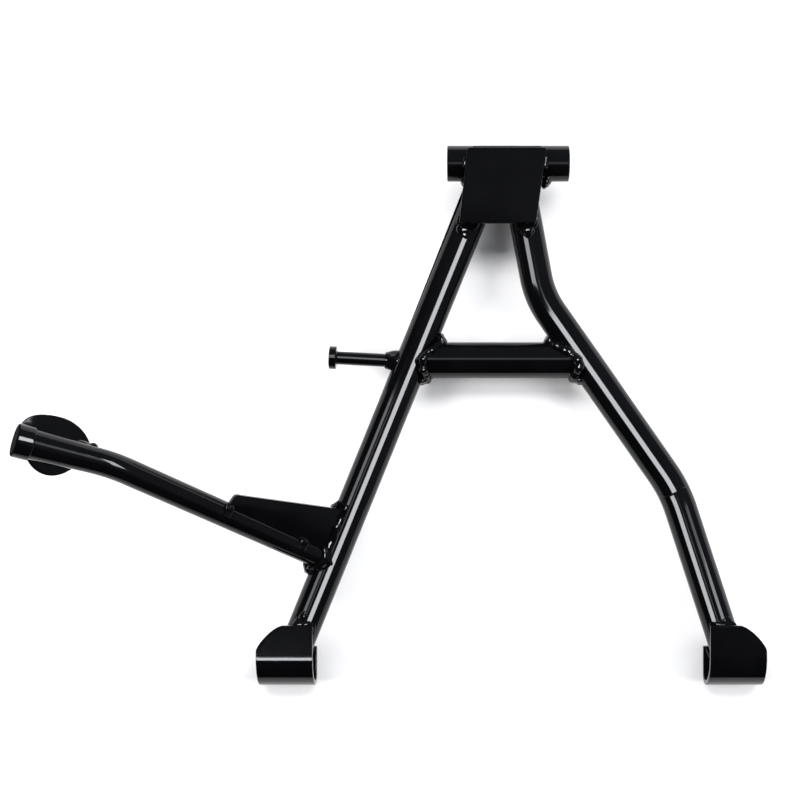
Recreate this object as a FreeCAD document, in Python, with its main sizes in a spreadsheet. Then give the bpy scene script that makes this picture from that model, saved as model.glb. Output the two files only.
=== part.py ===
import FreeCAD, Part
import math
import os
import Sketcher

# A welded motorcycle centre stand, lying on the backs of its feet.
# The origin is the middle of the pivot tube, on its axis.
# +X runs along the pivot axis, -Y from the pivot towards the feet, +Z up.
# Both legs lie in the plane Z = 0. Lengths are millimetres, angles degrees.

os.makedirs("parts", exist_ok=True)
doc = FreeCAD.newDocument("CentreStand")

SIZES = {
    # pivot tube, which the pivot bolt runs through
    "PivotLength": 85.0,
    "PivotDiameter": 25.0,
    "PivotBore": 17.0,
    "PivotChamfer": 0.8,
    # leg tubes; a drop is a distance below the pivot axis
    "LegDiameter": 23.0,
    "LegWall": 2.5,
    "LegEndDrop": 347.0,
    "LeftLegTop": -10.8,
    "LeftLegAngle": 22.13,
    "RightLegTop": 4.7,
    "UpperAngle": 10.72,
    "MiddleAngle": 34.90,
    "LowerAngle": 18.10,
    "UpperBendDrop": 93.1,
    "LowerBendDrop": 228.3,
    "UpperBendRadius": 65.0,
    "LowerBendRadius": 100.0,
    # crossbar between the legs
    "CrossbarDiameter": 25.4,
    "CrossbarWall": 2.5,
    "CrossbarDrop": 137.6,
    # flat plate over the pivot tube and the tops of the legs
    "PlateThickness": 4.0,
    "PlateTopWidth": 54.7,
    "PlateTopCentre": -1.2,
    "PlateAbovePivot": 8.3,
    "PlateBelowPivot": 42.5,
    "PlateOverhang": 6.1,
    "PlateCornerRadius": 1.5,
    "PlateEdgeRadius": 1.0,
    # feet: straps bent round the ends of the legs
    "FootWidth": 39.0,
    "FootThickness": 3.5,
    "FootOutset": 4.4,
    "FootBendDrop": 343.0,
    "FootFrontFlange": 22.0,
    "FootBackFlange": 19.0,
    "FootBendLean": 8.0,
    "FootCornerRadius": 19.0,
    "FootEdgeChamfer": 0.7,
    # foot lever: a tube from the left leg, with one bend and a flared end
    "LeverDrop": 278.3,
    "LeverDiameter": 17.0,
    "LeverWall": 2.0,
    "LeverSweep": 29.65,
    "LeverRise": 34.1,
    "LeverLength": 174.8,
    "TipSweep": 17.46,
    "TipRise": 25.7,
    "TipLength": 59.9,
    "LeverBendRadius": 90.0,
    "FlareLength": 46.0,
    "FlareDiameter": 19.4,
    "CapLength": 8.4,
    "CapWall": 0.8,
    "CapEnd": 2.0,
    "CapEdgeChamfer": 1.1,
    # gusset between the lever and the left leg
    "GussetThickness": 4.0,
    "GussetOffset": 4.5,
    "GussetReach": 93.5,
    "GussetTipHeight": 16.4,
    "GussetLegHeight": 37.4,
    "GussetCornerRadius": 4.0,
    "GussetTipSlant": 2.5,
    # oval pedal plate behind the lever's end
    "PedalLength": 52.0,
    "PedalWidth": 36.4,
    "PedalEndRadius": 13.0,
    "PedalThickness": 3.5,
    "PedalFromTip": 22.7,
    "PedalShift": 4.0,
    "PedalTilt": 14.0,
    "PedalEdgeChamfer": 0.9,
    # turned pin that holds the return spring
    "PinDrop": 138.65,
    "PinTilt": 3.0,
    "PinReach": 57.8,
    "PinDiameter": 9.2,
    "PinHeadDiameter": 16.0,
    "PinHeadThickness": 5.0,
    "PinNeckRadius": 1.0,
    "PinHeadChamfer": 0.6,
    # weld beads: the leg of a bead, its throat, and how far its crest stays under an edge
    "WeldSize": 3.2,
    "WeldThroat": 2.5,
    "WeldStepDown": 0.6,
    "WeldRun": 8.0,
    "CollarReach": 4.8,
    "TackLength": 6.4,
    "TackFromLeg": 16.0,
    "PedalWeldLength": 32.2,
    "PedalWeldWidth": 15.5,
    "PinWeldDiameter": 21.2,
    "PinWeldLength": 7.5,
    "PinWeldNeck": 0.7,
}

sheet = doc.addObject("Spreadsheet::Sheet", "Sizes")
for row, (alias, value) in enumerate(SIZES.items(), start=1):
    sheet.set("A%d" % row, alias)
    sheet.set("B%d" % row, str(value))
    sheet.setAlias("B%d" % row, alias)
doc.recompute()

ORIGIN = FreeCAD.Vector(0, 0, 0)
X_AXIS = FreeCAD.Vector(1, 0, 0)
Y_AXIS = FreeCAD.Vector(0, 1, 0)
Z_AXIS = FreeCAD.Vector(0, 0, 1)
TOUCH = 1e-4


def size(alias):
    return float(sheet.get(alias))


def slope(alias):
    return math.radians(size(alias))


def down(angle):
    # A unit vector in the leg plane, turned from -Y towards +X.
    return FreeCAD.Vector(math.sin(angle), -math.cos(angle), 0)


def turned(x_axis, z_axis):
    # The rotation that takes X to x_axis and Z to z_axis.
    return FreeCAD.Rotation(x_axis, z_axis.cross(x_axis), z_axis, "ZXY")


# Helpers for document objects

def follow(solid, prop, value):
    # A size is a formula on the sheet or, where points fix it, a number.
    if isinstance(value, str):
        solid.setExpression(prop, value)
    else:
        setattr(solid, prop, value)


def cylinder(name, start, direction, radius, height):
    solid = doc.addObject("Part::Cylinder", name)
    follow(solid, "Radius", radius)
    follow(solid, "Height", height)
    solid.Placement = FreeCAD.Placement(start, FreeCAD.Rotation(Z_AXIS, direction))
    return solid


def cone(name, start, direction, radius, end_radius, height):
    solid = doc.addObject("Part::Cone", name)
    follow(solid, "Radius1", radius)
    follow(solid, "Radius2", end_radius)
    follow(solid, "Height", height)
    solid.Placement = FreeCAD.Placement(start, FreeCAD.Rotation(Z_AXIS, direction))
    return solid


def block(name, corner, rotation, length, width, height):
    solid = doc.addObject("Part::Box", name)
    solid.setExpression("Length", length)
    solid.setExpression("Width", width)
    solid.setExpression("Height", height)
    solid.Placement = FreeCAD.Placement(corner, rotation)
    return solid


def common(name, *shapes):
    result = doc.addObject("Part::MultiCommon", name)
    result.Shapes = list(shapes)
    return result


def fuse(name, *shapes):
    result = doc.addObject("Part::MultiFuse", name)
    result.Shapes = list(shapes)
    return result


def cut(name, base, *tools):
    # Takes each tool away in turn; the last result carries the name.
    result = base
    for count, tool in enumerate(tools, start=1):
        last = count == len(tools)
        step = doc.addObject("Part::Cut", name if last else "%s_step_%d" % (name, count))
        step.Base = result
        step.Tool = tool
        result = step
    return result


def body_sketch(body, role, name):
    sketch = body.newObject("Sketcher::SketchObject", name)
    plane = next(item for item in body.Origin.OriginFeatures if item.Role == role)
    sketch.AttachmentSupport = [(plane, "")]
    sketch.MapMode = "FlatFace"
    return sketch


def limit(sketch, kind, geometry, name, formula, start):
    # A sketch dimension that follows a cell of the sheet.
    index = sketch.addConstraint(Sketcher.Constraint(kind, geometry, start))
    sketch.renameConstraint(index, name)
    sketch.setExpression("Constraints.%s" % name, formula)


def polygon(sketch, corners):
    count = len(corners)
    for index in range(count):
        start = FreeCAD.Vector(*corners[index], 0)
        end = FreeCAD.Vector(*corners[(index + 1) % count], 0)
        sketch.addGeometry(Part.LineSegment(start, end))
    for index in range(count):
        sketch.addConstraint(Sketcher.Constraint("Coincident", index, 2, (index + 1) % count, 1))


def pad(body, sketch, name, formula):
    feature = body.newObject("PartDesign::Pad", name)
    feature.Profile = sketch
    feature.setExpression("Length", formula)
    return feature


def edges_of(feature, wanted):
    doc.recompute()
    return ["Edge%d" % number for number, edge in enumerate(feature.Shape.Edges, start=1) if wanted(edge)]


def fillet(body, base, name, formula, wanted):
    names = edges_of(base, wanted)
    feature = body.newObject("PartDesign::Fillet", name)
    feature.Base = (base, names)
    feature.setExpression("Radius", formula)
    return feature


def chamfer(body, base, name, formula, wanted):
    names = edges_of(base, wanted)
    feature = body.newObject("PartDesign::Chamfer", name)
    feature.Base = (base, names)
    feature.setExpression("Size", formula)
    return feature


def bent_bar(name, corners, bends, radius):
    # Straight runs and the tangent bends between them; a bend names its cell of the sheet.
    pieces = []
    start = corners[0]
    for number, bend in enumerate(bends, start=1):
        corner = corners[number]
        back = (start - corner).normalize()
        ahead = (corners[number + 1] - corner).normalize()
        turn = math.pi - back.getAngle(ahead)
        setback = size(bend) * math.tan(turn / 2)
        bend_start = corner + back * setback
        bend_end = corner + ahead * setback
        centre = corner + (back + ahead).normalize() * (size(bend) / math.cos(turn / 2))
        spoke = (bend_start - centre).normalize()
        normal = spoke.cross(bend_end - centre).normalize()
        elbow = doc.addObject("Part::Torus", "%s_bend_%d" % (name, number))
        elbow.setExpression("Radius1", "Sizes.%s" % bend)
        elbow.setExpression("Radius2", radius)
        elbow.Angle3 = math.degrees(turn)
        elbow.Placement = FreeCAD.Placement(centre, turned(spoke, normal))
        run_length = (bend_start - start).Length
        pieces.append(cylinder("%s_run_%d" % (name, number), start, back * -1, radius, run_length))
        pieces.append(elbow)
        start = bend_end
    last = corners[-1] - start
    pieces.append(cylinder(name + "_last_run", start, last.normalize(), radius, (corners[-1] - start).Length))
    return pieces


def walls(bars, bores):
    # Each run and bend is bored by itself, and then they meet end to end.
    return [cut(bar.Name + "_wall", bar, bore) for bar, bore in zip(bars, bores)]


# Points and directions that several pieces share

leg_radius = size("LegDiameter") / 2
pivot_radius = size("PivotDiameter") / 2
left_down = down(-slope("LeftLegAngle"))
left_top = FreeCAD.Vector(size("LeftLegTop"), 0, 0)
right_top = FreeCAD.Vector(size("RightLegTop"), 0, 0)


def left_leg_at(drop):
    return left_top + left_down * (drop / math.cos(slope("LeftLegAngle")))


def step_down(start, angle_alias, drop):
    return start + down(slope(angle_alias)) * (drop / math.cos(slope(angle_alias)))


upper_bend = step_down(right_top, "UpperAngle", size("UpperBendDrop"))
lower_bend = step_down(upper_bend, "MiddleAngle", size("LowerBendDrop") - size("UpperBendDrop"))
right_end = step_down(lower_bend, "LowerAngle", size("LegEndDrop") - size("LowerBendDrop"))


def right_leg_at(drop):
    # The straight run that the given drop falls in.
    if drop <= size("UpperBendDrop"):
        return step_down(right_top, "UpperAngle", drop)
    if drop <= size("LowerBendDrop"):
        return step_down(upper_bend, "MiddleAngle", drop - size("UpperBendDrop"))
    return step_down(lower_bend, "LowerAngle", drop - size("LowerBendDrop"))


# Pivot tube

pivot_body = doc.addObject("PartDesign::Body", "pivot_tube")
pivot_sketch = body_sketch(pivot_body, "YZ_Plane", "pivot_section")
for geometry, alias in enumerate(("PivotDiameter", "PivotBore")):
    pivot_sketch.addGeometry(Part.Circle(ORIGIN, Z_AXIS, size(alias) / 2))
    limit(pivot_sketch, "Radius", geometry, alias, "Sizes.%s / 2" % alias, size(alias) / 2)
pivot_pad = pad(pivot_body, pivot_sketch, "pivot_pad", "Sizes.PivotLength")
chamfer(pivot_body, pivot_pad, "pivot_chamfer", "Sizes.PivotChamfer",
        lambda edge: isinstance(edge.Curve, Part.Circle))
pivot_body.setExpression("Placement.Base.x", "-Sizes.PivotLength / 2")

pivot_start = X_AXIS * (-size("PivotLength") / 2)
pivot_solid = cylinder("pivot_solid", pivot_start, X_AXIS, "Sizes.PivotDiameter / 2", "Sizes.PivotLength")

# Feet: a strap bent to a J, its bend rounder in front than behind


def foot(name, centre_x, outward):
    body = doc.addObject("PartDesign::Body", name)
    sketch = body_sketch(body, "YZ_Plane", name + "_section")
    thickness = size("FootThickness")
    outside = leg_radius + thickness
    front_radius = outside + size("FootBendLean")
    back_radius = outside - size("FootBendLean")
    bend_y = -size("FootBendDrop")
    front_centre = FreeCAD.Vector(bend_y, outside - front_radius, 0)
    back_centre = FreeCAD.Vector(bend_y - front_radius + back_radius, back_radius - outside, 0)
    front_top = FreeCAD.Vector(bend_y + size("FootFrontFlange"), outside, 0)
    back_top = FreeCAD.Vector(back_centre.x + size("FootBackFlange"), -outside, 0)
    through = FreeCAD.Vector(0, thickness, 0)

    def quarter(centre, radius, first, last):
        circle = Part.Circle(centre, Z_AXIS, radius)
        return Part.ArcOfCircle(circle, math.radians(first), math.radians(last))

    outer_front = quarter(front_centre, front_radius, 90, 180)
    outer_back = quarter(back_centre, back_radius, 180, 270)
    inner_front = quarter(front_centre, front_radius - thickness, 90, 180)
    inner_back = quarter(back_centre, back_radius - thickness, 180, 270)
    for geometry in (
        Part.LineSegment(front_top, outer_front.StartPoint),
        outer_front,
        outer_back,
        Part.LineSegment(outer_back.EndPoint, back_top),
        Part.LineSegment(back_top, back_top + through),
        Part.LineSegment(back_top + through, inner_back.EndPoint),
        inner_back,
        inner_front,
        Part.LineSegment(inner_front.StartPoint, front_top - through),
        Part.LineSegment(front_top - through, front_top),
    ):
        sketch.addGeometry(geometry)
    strap = pad(body, sketch, name + "_strap", "Sizes.FootWidth")
    outer_x = size("FootWidth") if outward > 0 else 0

    def outer_corner(edge):
        box = edge.BoundBox
        at_side = abs(box.XMin - outer_x) + abs(box.XMax - outer_x) < TOUCH
        at_top = abs(box.YMin - front_top.x) + abs(box.YMax - front_top.x) < TOUCH
        return at_side and at_top

    corner = fillet(body, strap, name + "_corner", "Sizes.FootCornerRadius", outer_corner)

    def front_rim(edge):
        box = edge.BoundBox
        in_front = box.ZMin > outside - TOUCH
        on_flange = box.YMin > bend_y - TOUCH and box.YMax > bend_y + TOUCH
        return in_front and on_flange

    chamfer(body, corner, name + "_rim", "Sizes.FootEdgeChamfer", front_rim)
    body.Placement.Base = FreeCAD.Vector(centre_x - size("FootWidth") / 2, 0, 0)
    return body


left_foot_x = left_leg_at(size("FootBendDrop")).x - size("FootOutset")
right_foot_x = right_leg_at(size("FootBendDrop")).x + size("FootOutset")
left_foot = foot("left_foot", left_foot_x, -1)
right_foot = foot("right_foot", right_foot_x, 1)

# Legs: the left one straight, the right one with two bends

left_length = "Sizes.LegEndDrop / cos(Sizes.LeftLegAngle * 1 deg)"
leg_outside = "Sizes.LegDiameter / 2"
leg_inside = "Sizes.LegDiameter / 2 - Sizes.LegWall"
left_solid = cylinder("left_leg_solid", left_top, left_down, leg_outside, left_length)
left_bore = cylinder("left_leg_bore", left_top, left_down, leg_inside, left_length)
left_leg = cut("left_leg", left_solid, left_bore, pivot_solid, left_foot)

right_corners = [right_top, upper_bend, lower_bend, right_end]
right_bends = ["UpperBendRadius", "LowerBendRadius"]


def right_bars(name, radius):
    return bent_bar(name, right_corners, right_bends, radius)


right_solid = fuse("right_leg_solid", *right_bars("right_leg_bar", leg_outside))
right_walls = walls(right_bars("right_leg_outside", leg_outside), right_bars("right_leg_bore", leg_inside))
right_leg = cut("right_leg", fuse("right_leg_walls", *right_walls), pivot_solid, left_solid, right_foot)

# Crossbar, coped onto both legs

bar_left = left_leg_at(size("CrossbarDrop"))
bar_right = right_leg_at(size("CrossbarDrop"))
bar_length = "%s - %s" % (
    "(Sizes.RightLegTop + Sizes.UpperBendDrop * tan(Sizes.UpperAngle * 1 deg)"
    " + (Sizes.CrossbarDrop - Sizes.UpperBendDrop) * tan(Sizes.MiddleAngle * 1 deg))",
    "(Sizes.LeftLegTop - Sizes.CrossbarDrop * tan(Sizes.LeftLegAngle * 1 deg))",
)
bar_solid = cylinder("crossbar_solid", bar_left, X_AXIS, "Sizes.CrossbarDiameter / 2", bar_length)
bar_bore = cylinder("crossbar_bore", bar_left, X_AXIS,
                    "Sizes.CrossbarDiameter / 2 - Sizes.CrossbarWall", bar_length)
crossbar = cut("crossbar", bar_solid, bar_bore, left_solid, right_solid)

# Top plate, flat on the pivot tube, its lower corners over the legs

plate_body = doc.addObject("PartDesign::Body", "top_plate")
plate_sketch = body_sketch(plate_body, "XY_Plane", "plate_outline")
plate_low = size("PlateBelowPivot")
plate_half_top = size("PlateTopWidth") / 2
plate_top_left = (size("PlateTopCentre") - plate_half_top, size("PlateAbovePivot"))
plate_top_right = (size("PlateTopCentre") + plate_half_top, size("PlateAbovePivot"))
plate_low_left = (left_leg_at(plate_low).x - size("PlateOverhang"), -plate_low)
plate_low_right = (right_leg_at(plate_low).x + size("PlateOverhang"), -plate_low)
polygon(plate_sketch, [plate_low_left, plate_low_right, plate_top_right, plate_top_left])
plate_pad = pad(plate_body, plate_sketch, "plate_pad", "Sizes.PlateThickness")
plate_round = fillet(plate_body, plate_pad, "plate_round", "Sizes.PlateCornerRadius",
                     lambda edge: edge.BoundBox.ZLength > size("PlateThickness") / 2)
fillet(plate_body, plate_round, "plate_rim", "Sizes.PlateEdgeRadius",
       lambda edge: edge.BoundBox.ZMin > size("PlateThickness") - TOUCH)
plate_seat = max(pivot_radius, leg_radius)
plate_body.setExpression("Placement.Base.z", "max(Sizes.PivotDiameter; Sizes.LegDiameter) / 2")

# Foot lever: one bend, then flared towards its end


def rising(sweep_alias, rise_alias):
    # Outward from the left leg, swept back up along the stand and rising.
    sweep = slope(sweep_alias)
    rise = slope(rise_alias)
    level = math.cos(rise)
    return FreeCAD.Vector(-level * math.cos(sweep), level * math.sin(sweep), math.sin(rise))


lever_root = left_leg_at(size("LeverDrop"))
lever_out = rising("LeverSweep", "LeverRise")
tip_out = rising("TipSweep", "TipRise")
lever_bend = lever_root + lever_out * size("LeverLength")
lever_tip = lever_bend + tip_out * size("TipLength")
flare_start = lever_tip - tip_out * size("FlareLength")

# Across the end: level, and square to both the level line and the tube
tip_level = Z_AXIS.cross(tip_out).normalize() * -1
tip_above = tip_level.cross(tip_out).normalize()
lever_outside = "Sizes.LeverDiameter / 2"


def lever_bars(name, inset):
    # The lever as a solid bar in lengths, smaller all round by the inset.
    radius = "%s - %s" % (lever_outside, inset)
    bars = bent_bar(name, [lever_root, lever_bend, flare_start], ["LeverBendRadius"], radius)
    flare = cone(name + "_flare", flare_start, tip_out, radius,
                 "Sizes.FlareDiameter / 2 - %s" % inset, "Sizes.FlareLength")
    return bars + [flare]


lever_solid = fuse("lever_solid", *lever_bars("lever_bar", "0"))
lever_walls = walls(lever_bars("lever_outside", "0"), lever_bars("lever_bore", "Sizes.LeverWall"))
lever_tube = cut("lever_tube", fuse("lever_walls", *lever_walls), left_solid)

# Cap over the lever's end

cap_body = doc.addObject("PartDesign::Body", "cap_blank")
cap_sketch = body_sketch(cap_body, "XY_Plane", "cap_section")
cap_radius = size("FlareDiameter") / 2 + size("CapWall")
cap_sketch.addGeometry(Part.Circle(ORIGIN, Z_AXIS, cap_radius))
limit(cap_sketch, "Radius", 0, "CapRadius", "Sizes.FlareDiameter / 2 + Sizes.CapWall", cap_radius)
cap_pad = pad(cap_body, cap_sketch, "cap_pad", "Sizes.CapLength + Sizes.CapEnd")
chamfer(cap_body, cap_pad, "cap_rim", "Sizes.CapEdgeChamfer",
        lambda edge: edge.BoundBox.ZMin > size("CapLength") + size("CapEnd") - TOUCH)
cap_start = lever_tip - tip_out * size("CapLength")
cap_body.Placement = FreeCAD.Placement(cap_start, FreeCAD.Rotation(Z_AXIS, tip_out))
lever_cap = cut("lever_end_cap", cap_body, lever_solid)

# Gusset in the corner between the lever and the left leg

along = lever_out
left_up = left_down * -1
across = (left_up - along * left_up.dot(along)).normalize()
gusset_normal = along.cross(across).normalize()
if gusset_normal.z < 0:
    gusset_normal = gusset_normal * -1
gusset_turn = turned(along, gusset_normal)
across_sign = 1 if gusset_turn.multVec(Y_AXIS).dot(across) > 0 else -1
gusset_half = size("GussetThickness") / 2
gusset_corner = lever_root + gusset_normal * (size("GussetOffset") - gusset_half)

gusset_body = doc.addObject("PartDesign::Body", "gusset_blank")
gusset_sketch = body_sketch(gusset_body, "XY_Plane", "gusset_outline")
gusset_top = size("GussetLegHeight")
gusset_outline = [
    (0, 0),
    (size("GussetReach"), 0),
    (size("GussetReach"), size("LeverDiameter") / 2),
    (size("GussetReach") - size("GussetTipSlant"), size("GussetTipHeight")),
    (leg_radius, gusset_top),
    (0, gusset_top),
]
polygon(gusset_sketch, [(a, b * across_sign) for a, b in gusset_outline])
gusset_pad = pad(gusset_body, gusset_sketch, "gusset_pad", "Sizes.GussetThickness")


def gusset_tip(edge):
    box = edge.BoundBox
    upright = box.ZLength > gusset_half
    height = max(abs(box.YMin), abs(box.YMax))
    return upright and box.XMin > size("GussetReach") / 2 and height > size("LeverDiameter") / 2 + TOUCH


fillet(gusset_body, gusset_pad, "gusset_corner", "Sizes.GussetCornerRadius", gusset_tip)
gusset_body.Placement = FreeCAD.Placement(gusset_corner, gusset_turn)
lever_gusset = cut("lever_gusset", gusset_body, lever_solid, left_solid)

# Oval pedal plate behind the flared end

tilt = slope("PedalTilt")
pedal_across = tip_level * math.cos(tilt) - tip_above * math.sin(tilt)
pedal_back = tip_level * -math.sin(tilt) - tip_above * math.cos(tilt)
pedal_seat = (size("LeverDiameter") + size("FlareDiameter")) / 4
pedal_middle = lever_tip - tip_out * size("PedalFromTip") + pedal_across * size("PedalShift")
pedal_origin = pedal_middle + pedal_back * (pedal_seat + size("PedalThickness"))
pedal_turn = turned(tip_out, pedal_back * -1)

pedal_body = doc.addObject("PartDesign::Body", "pedal_blank")
pedal_sketch = body_sketch(pedal_body, "XY_Plane", "pedal_outline")
pedal_half = size("PedalWidth") / 2
end_radius = size("PedalEndRadius")
end_centre = size("PedalLength") / 2 - end_radius
side_radius = (end_centre ** 2 + pedal_half ** 2 - end_radius ** 2) / (2 * (pedal_half - end_radius))
side_centre = side_radius - pedal_half
blend = math.atan2(side_centre, end_centre)
for centre, radius, first, last in (
    ((end_centre, 0), end_radius, -blend, blend),
    ((0, -side_centre), side_radius, blend, math.pi - blend),
    ((-end_centre, 0), end_radius, math.pi - blend, math.pi + blend),
    ((0, side_centre), side_radius, math.pi + blend, 2 * math.pi - blend),
):
    circle = Part.Circle(FreeCAD.Vector(*centre, 0), Z_AXIS, radius)
    pedal_sketch.addGeometry(Part.ArcOfCircle(circle, first, last))
pedal_pad = pad(pedal_body, pedal_sketch, "pedal_pad", "Sizes.PedalThickness")
chamfer(pedal_body, pedal_pad, "pedal_rim", "Sizes.PedalEdgeChamfer",
        lambda edge: edge.BoundBox.ZLength < TOUCH)
pedal_body.Placement = FreeCAD.Placement(pedal_origin, pedal_turn)
pedal_plate = cut("pedal_plate", pedal_body, lever_solid, lever_cap)

# Spring pin on the left leg

pin_out = FreeCAD.Vector(-math.cos(slope("PinTilt")), math.sin(slope("PinTilt")), 0)
pin_root = left_leg_at(size("PinDrop"))
pin_body = doc.addObject("PartDesign::Body", "pin_blank")
pin_sketch = body_sketch(pin_body, "XZ_Plane", "pin_profile")
pin_radius = size("PinDiameter") / 2
head_radius = size("PinHeadDiameter") / 2
head_start = size("PinReach") - size("PinHeadThickness")
neck = size("PinNeckRadius")
chamfer = size("PinHeadChamfer")
polygon(pin_sketch, [
    (0, 0),
    (pin_radius, 0),
    (pin_radius, head_start - neck),
    (pin_radius + neck, head_start),
    (head_radius - chamfer, head_start),
    (head_radius, head_start + chamfer),
    (head_radius, size("PinReach") - chamfer),
    (head_radius - chamfer, size("PinReach")),
    (0, size("PinReach")),
])
pin_turning = pin_body.newObject("PartDesign::Revolution", "pin_turning")
pin_turning.Profile = pin_sketch
pin_turning.ReferenceAxis = (pin_sketch, ["V_Axis"])
pin_turning.Angle = 360
pin_body.Placement = FreeCAD.Placement(pin_root, FreeCAD.Rotation(Z_AXIS, pin_out))
spring_pin = cut("spring_pin", pin_body, left_solid)

# Weld beads: each fills the corner between the pieces that it joins

weld = size("WeldSize")
throat = size("WeldThroat")
leg_bead = "Sizes.LegDiameter / 2 + Sizes.WeldThroat"
leg_collar = "Sizes.LegDiameter / 2 + Sizes.CollarReach"
left_sheath = cylinder("left_leg_sheath", left_top, left_down, leg_bead, left_length)
right_sheath = fuse("right_leg_sheath", *right_bars("right_leg_sheath_bar", leg_bead))
left_collar = cylinder("left_leg_collar", left_top, left_down, leg_collar, left_length)
right_collar = fuse("right_leg_collar", *right_bars("right_leg_collar_bar", leg_collar))
pivot_sheath = cylinder("pivot_sheath", pivot_start, X_AXIS,
                        "Sizes.PivotDiameter / 2 + Sizes.WeldSize", "Sizes.PivotLength")


def bead_slab(name, corner, length, width, thickness):
    # Keeps a bead's front and back near those of the tube that it runs round.
    slab = block(name, corner, FreeCAD.Rotation(), length, width, thickness)
    slab.setExpression("Placement.Base.z", "-(%s) / 2" % thickness)
    return slab


pivot_bead_height = "max(Sizes.PivotDiameter - Sizes.WeldStepDown; Sizes.LegDiameter + Sizes.WeldStepDown)"
pivot_slab = bead_slab("pivot_bead_height", pivot_start - Y_AXIS * (size("PivotDiameter") * 2 + throat),
                       "Sizes.PivotLength", "Sizes.PivotDiameter * 2", pivot_bead_height)
left_pivot_weld = cut("left_leg_pivot_weld",
                      common("left_leg_pivot_bead", left_sheath, pivot_sheath, pivot_slab),
                      left_solid, pivot_solid, right_solid, plate_body)
right_pivot_weld = cut("right_leg_pivot_weld",
                       common("right_leg_pivot_bead", right_sheath, pivot_sheath, pivot_slab),
                       right_solid, pivot_solid, left_sheath, plate_body)

bar_flare = "Sizes.CrossbarDiameter / 2 + Sizes.WeldSize"
bar_end = "Sizes.CrossbarDiameter / 2"
flare_length = "Sizes.LegDiameter / 2 / cos(Sizes.MiddleAngle * 1 deg) + Sizes.WeldSize * 2"
bar_left_flare = cone("crossbar_left_flare", bar_left, X_AXIS, bar_flare, bar_end, flare_length)
bar_right_flare = cone("crossbar_right_flare", bar_right, X_AXIS * -1, bar_flare, bar_end, flare_length)
bar_slab = bead_slab("crossbar_bead_height", bar_left - Y_AXIS * size("CrossbarDiameter"),
                     bar_length, "Sizes.CrossbarDiameter * 2",
                     "max(Sizes.CrossbarDiameter; Sizes.LegDiameter) + Sizes.WeldStepDown * 2")
cut("crossbar_left_weld", common("crossbar_left_bead", bar_left_flare, left_collar, bar_slab),
    bar_solid, left_solid)
cut("crossbar_right_weld", common("crossbar_right_bead", bar_right_flare, right_collar, bar_slab),
    bar_solid, right_solid)


def leg_wedge(name, start, direction, side, crest):
    # A bead on the front or back of a leg that starts just under an edge and thins out.
    wedge = cone(name + "_wedge", start - direction * weld, direction, crest,
                 "Sizes.LegDiameter / 2 - Sizes.WeldThroat / 2", "Sizes.WeldRun + Sizes.WeldSize")
    puddle = cylinder(name + "_puddle", start, Z_AXIS * side, "Sizes.WeldRun", "Sizes.LegDiameter")
    return common(name + "_bead", wedge, puddle)


plate_crest = "max(Sizes.PivotDiameter; Sizes.LegDiameter) / 2 + Sizes.PlateThickness - Sizes.WeldStepDown"
foot_crest = "Sizes.LegDiameter / 2 + Sizes.FootThickness - Sizes.WeldStepDown"
right_down = down(slope("UpperAngle"))
right_up = down(slope("LowerAngle")) * -1
cut("plate_left_leg_weld", leg_wedge("plate_left", left_leg_at(plate_low), left_down, 1, plate_crest),
    left_solid, plate_body)
cut("plate_right_leg_weld", leg_wedge("plate_right", right_leg_at(plate_low), right_down, 1, plate_crest),
    right_solid, plate_body)

front_drop = size("FootBendDrop") - size("FootFrontFlange")
back_drop = size("FootBendDrop") + 2 * size("FootBendLean") - size("FootBackFlange")
for side_name, drop, side in (("front", front_drop, 1), ("back", back_drop, -1)):
    cut("left_foot_%s_weld" % side_name,
        leg_wedge("left_foot_%s" % side_name, left_leg_at(drop), left_up, side, foot_crest),
        left_solid, left_foot)
    cut("right_foot_%s_weld" % side_name,
        leg_wedge("right_foot_%s" % side_name, right_leg_at(drop), right_up, side, foot_crest),
        right_solid, right_foot)

# Beads along the plate's top edge and its sides, on the pivot tube

edge_start = FreeCAD.Vector(size("PlateTopCentre") - plate_half_top + weld, 0, plate_seat - weld)
edge_run = block("plate_edge_run", edge_start, FreeCAD.Rotation(),
                 "Sizes.PlateTopWidth - Sizes.WeldSize * 2",
                 "Sizes.PlateAbovePivot + Sizes.WeldThroat - Sizes.WeldStepDown",
                 "Sizes.WeldSize + Sizes.WeldThroat - Sizes.WeldStepDown")
plate_edge_weld = cut("plate_edge_weld", edge_run, pivot_solid, plate_body, left_pivot_weld, right_pivot_weld)
for side_name, top_point, low_point in (
    ("left", plate_top_left, plate_low_left),
    ("right", plate_top_right, plate_low_right),
):
    top_corner = FreeCAD.Vector(*top_point, plate_seat)
    edge_line = (FreeCAD.Vector(*low_point, plate_seat) - top_corner).normalize()
    bead_start = top_corner + edge_line * (top_corner.y - throat)
    bead = cylinder("plate_%s_run" % side_name, bead_start, edge_line, "Sizes.WeldThroat", "Sizes.WeldRun")
    cut("plate_%s_side_weld" % side_name, bead, pivot_solid, plate_body, plate_edge_weld,
        left_pivot_weld, right_pivot_weld)

# Beads round the lever's root, along the gusset and behind the pedal

lever_sheath = cylinder("lever_sheath", lever_root, lever_out, "Sizes.LeverDiameter / 2 + Sizes.WeldThroat",
                        "Sizes.LegDiameter + Sizes.LeverDiameter")
lever_weld = cut("lever_leg_weld", common("lever_leg_bead", lever_sheath, left_collar),
                 lever_solid, left_solid, lever_gusset)

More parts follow.
